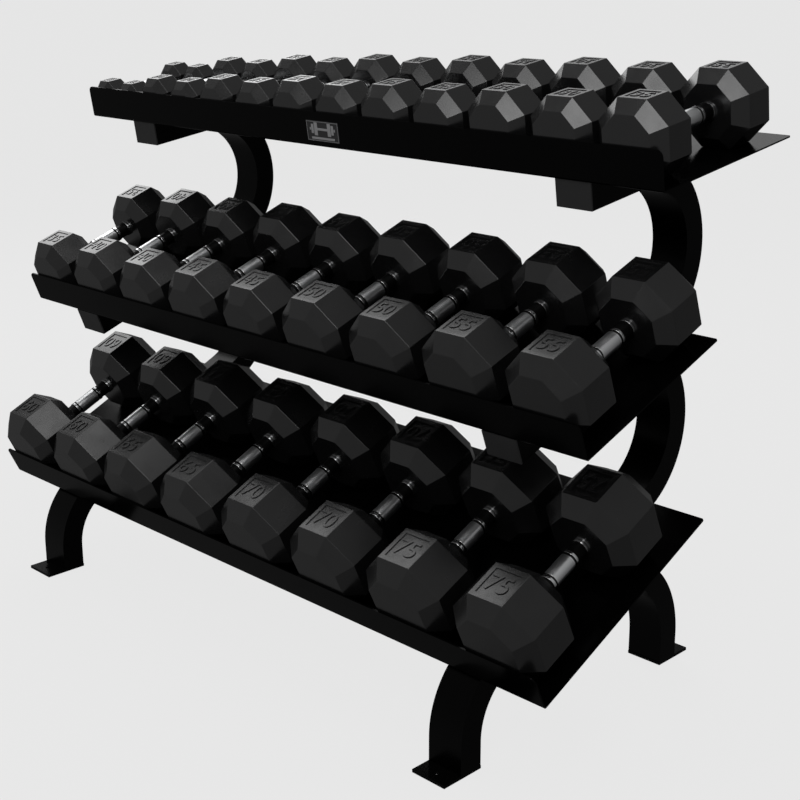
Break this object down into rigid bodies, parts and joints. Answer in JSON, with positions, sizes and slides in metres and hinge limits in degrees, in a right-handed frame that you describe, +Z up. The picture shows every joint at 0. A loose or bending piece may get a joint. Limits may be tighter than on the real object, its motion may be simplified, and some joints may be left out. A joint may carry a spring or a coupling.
{
  "type": "dumbbell rack",
  "caption": "Black three-tier steel rack with sloped trays on curved rectangular-tube uprights, loaded with eight-sided dumbbells on chrome handles.",
  "frame": {"origin": "on the floor, at the centre of the four floor-bolt holes in the foot plates", "axes": "+X along the trays to the right as seen from the front, +Y from the front lip to the rear, +Z up"},
  "size_m": [1.6, 0.7185, 1.1762],
  "materials": {
    "frame_coat": "satin",
    "bolts": "satin",
    "name_plate": "satin",
    "dumbbells": "matte"
  },
  "bodies": {
    "rack": {"tray_top": "frame_coat", "tray_middle": "frame_coat", "tray_bottom": "frame_coat", "upper_tube_left": "frame_coat", "lower_tube_left": "frame_coat", "rear_leg_left": "frame_coat", "upper_tube_right": "frame_coat", "lower_tube_right": "frame_coat", "rear_leg_right": "frame_coat", "arm_cap_top_left": "frame_coat", "arm_cap_top_right": "frame_coat", "arm_cap_middle_left": "frame_coat", "arm_cap_middle_right": "frame_coat", "foot_plate_front_left": "frame_coat", "foot_plate_front_right": "frame_coat", "foot_plate_rear_left": "frame_coat", "foot_plate_rear_right": "frame_coat", "tray_bolts_top": "bolts", "tray_bolts_middle": "bolts", "tray_bolts_bottom": "bolts", "name_plate": "name_plate"},
    "dumbbell_top_01_5lb": {"dumbbell_top_01_5lb": "dumbbells"},
    "dumbbell_top_02_5lb": {"dumbbell_top_02_5lb": "dumbbells"},
    "dumbbell_top_03_10lb": {"dumbbell_top_03_10lb": "dumbbells"},
    "dumbbell_top_04_10lb": {"dumbbell_top_04_10lb": "dumbbells"},
    "dumbbell_top_05_15lb": {"dumbbell_top_05_15lb": "dumbbells"},
    "dumbbell_top_06_15lb": {"dumbbell_top_06_15lb": "dumbbells"},
    "dumbbell_top_07_20lb": {"dumbbell_top_07_20lb": "dumbbells"},
    "dumbbell_top_08_20lb": {"dumbbell_top_08_20lb": "dumbbells"},
    "dumbbell_top_09_25lb": {"dumbbell_top_09_25lb": "dumbbells"},
    "dumbbell_top_10_25lb": {"dumbbell_top_10_25lb": "dumbbells"},
    "dumbbell_top_11_30lb": {"dumbbell_top_11_30lb": "dumbbells"},
    "dumbbell_top_12_30lb": {"dumbbell_top_12_30lb": "dumbbells"},
    "dumbbell_top_13_35lb": {"dumbbell_top_13_35lb": "dumbbells"},
    "dumbbell_middle_01_35lb": {"dumbbell_middle_01_35lb": "dumbbells"},
    "dumbbell_middle_02_40lb": {"dumbbell_middle_02_40lb": "dumbbells"},
    "dumbbell_middle_03_40lb": {"dumbbell_middle_03_40lb": "dumbbells"},
    "dumbbell_middle_04_45lb": {"dumbbell_middle_04_45lb": "dumbbells"},
    "dumbbell_middle_05_45lb": {"dumbbell_middle_05_45lb": "dumbbells"},
    "dumbbell_middle_06_50lb": {"dumbbell_middle_06_50lb": "dumbbells"},
    "dumbbell_middle_07_50lb": {"dumbbell_middle_07_50lb": "dumbbells"},
    "dumbbell_middle_08_55lb": {"dumbbell_middle_08_55lb": "dumbbells"},
    "dumbbell_middle_09_55lb": {"dumbbell_middle_09_55lb": "dumbbells"},
    "dumbbell_bottom_01_60lb": {"dumbbell_bottom_01_60lb": "dumbbells"},
    "dumbbell_bottom_02_60lb": {"dumbbell_bottom_02_60lb": "dumbbells"},
    "dumbbell_bottom_03_65lb": {"dumbbell_bottom_03_65lb": "dumbbells"},
    "dumbbell_bottom_04_65lb": {"dumbbell_bottom_04_65lb": "dumbbells"},
    "dumbbell_bottom_05_70lb": {"dumbbell_bottom_05_70lb": "dumbbells"},
    "dumbbell_bottom_06_70lb": {"dumbbell_bottom_06_70lb": "dumbbells"},
    "dumbbell_bottom_07_75lb": {"dumbbell_bottom_07_75lb": "dumbbells"},
    "dumbbell_bottom_08_75lb": {"dumbbell_bottom_08_75lb": "dumbbells"}
  },
  "joints": [
    {"name": "lift_dumbbell_top_01_5lb", "type": "slide", "parent": "rack", "child": "dumbbell_top_01_5lb", "axis": [0, -0.1478, 0.989], "range_m": [0, 0.3]},
    {"name": "lift_dumbbell_top_02_5lb", "type": "slide", "parent": "rack", "child": "dumbbell_top_02_5lb", "axis": [0, -0.1478, 0.989], "range_m": [0, 0.3]},
    {"name": "lift_dumbbell_top_03_10lb", "type": "slide", "parent": "rack", "child": "dumbbell_top_03_10lb", "axis": [0, -0.1478, 0.989], "range_m": [0, 0.3]},
    {"name": "lift_dumbbell_top_04_10lb", "type": "slide", "parent": "rack", "child": "dumbbell_top_04_10lb", "axis": [0, -0.1478, 0.989], "range_m": [0, 0.3]},
    {"name": "lift_dumbbell_top_05_15lb", "type": "slide", "parent": "rack", "child": "dumbbell_top_05_15lb", "axis": [0, -0.1478, 0.989], "range_m": [0, 0.3]},
    {"name": "lift_dumbbell_top_06_15lb", "type": "slide", "parent": "rack", "child": "dumbbell_top_06_15lb", "axis": [0, -0.1478, 0.989], "range_m": [0, 0.3]},
    {"name": "lift_dumbbell_top_07_20lb", "type": "slide", "parent": "rack", "child": "dumbbell_top_07_20lb", "axis": [0, -0.1478, 0.989], "range_m": [0, 0.3]},
    {"name": "lift_dumbbell_top_08_20lb", "type": "slide", "parent": "rack", "child": "dumbbell_top_08_20lb", "axis": [0, -0.1478, 0.989], "range_m": [0, 0.3]},
    {"name": "lift_dumbbell_top_09_25lb", "type": "slide", "parent": "rack", "child": "dumbbell_top_09_25lb", "axis": [0, -0.1478, 0.989], "range_m": [0, 0.3]},
    {"name": "lift_dumbbell_top_10_25lb", "type": "slide", "parent": "rack", "child": "dumbbell_top_10_25lb", "axis": [0, -0.1478, 0.989], "range_m": [0, 0.3]},
    {"name": "lift_dumbbell_top_11_30lb", "type": "slide", "parent": "rack", "child": "dumbbell_top_11_30lb", "axis": [0, -0.1478, 0.989], "range_m": [0, 0.3]},
    {"name": "lift_dumbbell_top_12_30lb", "type": "slide", "parent": "rack", "child": "dumbbell_top_12_30lb", "axis": [0, -0.1478, 0.989], "range_m": [0, 0.3]},
    {"name": "lift_dumbbell_top_13_35lb", "type": "slide", "parent": "rack", "child": "dumbbell_top_13_35lb", "axis": [0, -0.1478, 0.989], "range_m": [0, 0.3]},
    {"name": "lift_dumbbell_middle_01_35lb", "type": "slide", "parent": "rack", "child": "dumbbell_middle_01_35lb", "axis": [0, -0.3453, 0.9385], "range_m": [0, 0.09]},
    {"name": "lift_dumbbell_middle_02_40lb", "type": "slide", "parent": "rack", "child": "dumbbell_middle_02_40lb", "axis": [0, -0.3453, 0.9385], "range_m": [0, 0.09]},
    {"name": "lift_dumbbell_middle_03_40lb", "type": "slide", "parent": "rack", "child": "dumbbell_middle_03_40lb", "axis": [0, -0.3453, 0.9385], "range_m": [0, 0.09]},
    {"name": "lift_dumbbell_middle_04_45lb", "type": "slide", "parent": "rack", "child": "dumbbell_middle_04_45lb", "axis": [0, -0.3453, 0.9385], "range_m": [0, 0.09]},
    {"name": "lift_dumbbell_middle_05_45lb", "type": "slide", "parent": "rack", "child": "dumbbell_middle_05_45lb", "axis": [0, -0.3453, 0.9385], "range_m": [0, 0.09]},
    {"name": "lift_dumbbell_middle_06_50lb", "type": "slide", "parent": "rack", "child": "dumbbell_middle_06_50lb", "axis": [0, -0.3453, 0.9385], "range_m": [0, 0.09]},
    {"name": "lift_dumbbell_middle_07_50lb", "type": "slide", "parent": "rack", "child": "dumbbell_middle_07_50lb", "axis": [0, -0.3453, 0.9385], "range_m": [0, 0.09]},
    {"name": "lift_dumbbell_middle_08_55lb", "type": "slide", "parent": "rack", "child": "dumbbell_middle_08_55lb", "axis": [0, -0.3453, 0.9385], "range_m": [0, 0.09]},
    {"name": "lift_dumbbell_middle_09_55lb", "type": "slide", "parent": "rack", "child": "dumbbell_middle_09_55lb", "axis": [0, -0.3453, 0.9385], "range_m": [0, 0.09]},
    {"name": "lift_dumbbell_bottom_01_60lb", "type": "slide", "parent": "rack", "child": "dumbbell_bottom_01_60lb", "axis": [0, -0.421, 0.907], "range_m": [0, 0.08]},
    {"name": "lift_dumbbell_bottom_02_60lb", "type": "slide", "parent": "rack", "child": "dumbbell_bottom_02_60lb", "axis": [0, -0.421, 0.907], "range_m": [0, 0.08]},
    {"name": "lift_dumbbell_bottom_03_65lb", "type": "slide", "parent": "rack", "child": "dumbbell_bottom_03_65lb", "axis": [0, -0.421, 0.907], "range_m": [0, 0.08]},
    {"name": "lift_dumbbell_bottom_04_65lb", "type": "slide", "parent": "rack", "child": "dumbbell_bottom_04_65lb", "axis": [0, -0.421, 0.907], "range_m": [0, 0.08]},
    {"name": "lift_dumbbell_bottom_05_70lb", "type": "slide", "parent": "rack", "child": "dumbbell_bottom_05_70lb", "axis": [0, -0.421, 0.907], "range_m": [0, 0.08]},
    {"name": "lift_dumbbell_bottom_06_70lb", "type": "slide", "parent": "rack", "child": "dumbbell_bottom_06_70lb", "axis": [0, -0.421, 0.907], "range_m": [0, 0.08]},
    {"name": "lift_dumbbell_bottom_07_75lb", "type": "slide", "parent": "rack", "child": "dumbbell_bottom_07_75lb", "axis": [0, -0.421, 0.907], "range_m": [0, 0.08]},
    {"name": "lift_dumbbell_bottom_08_75lb", "type": "slide", "parent": "rack", "child": "dumbbell_bottom_08_75lb", "axis": [0, -0.421, 0.907], "range_m": [0, 0.08]}
  ]
}
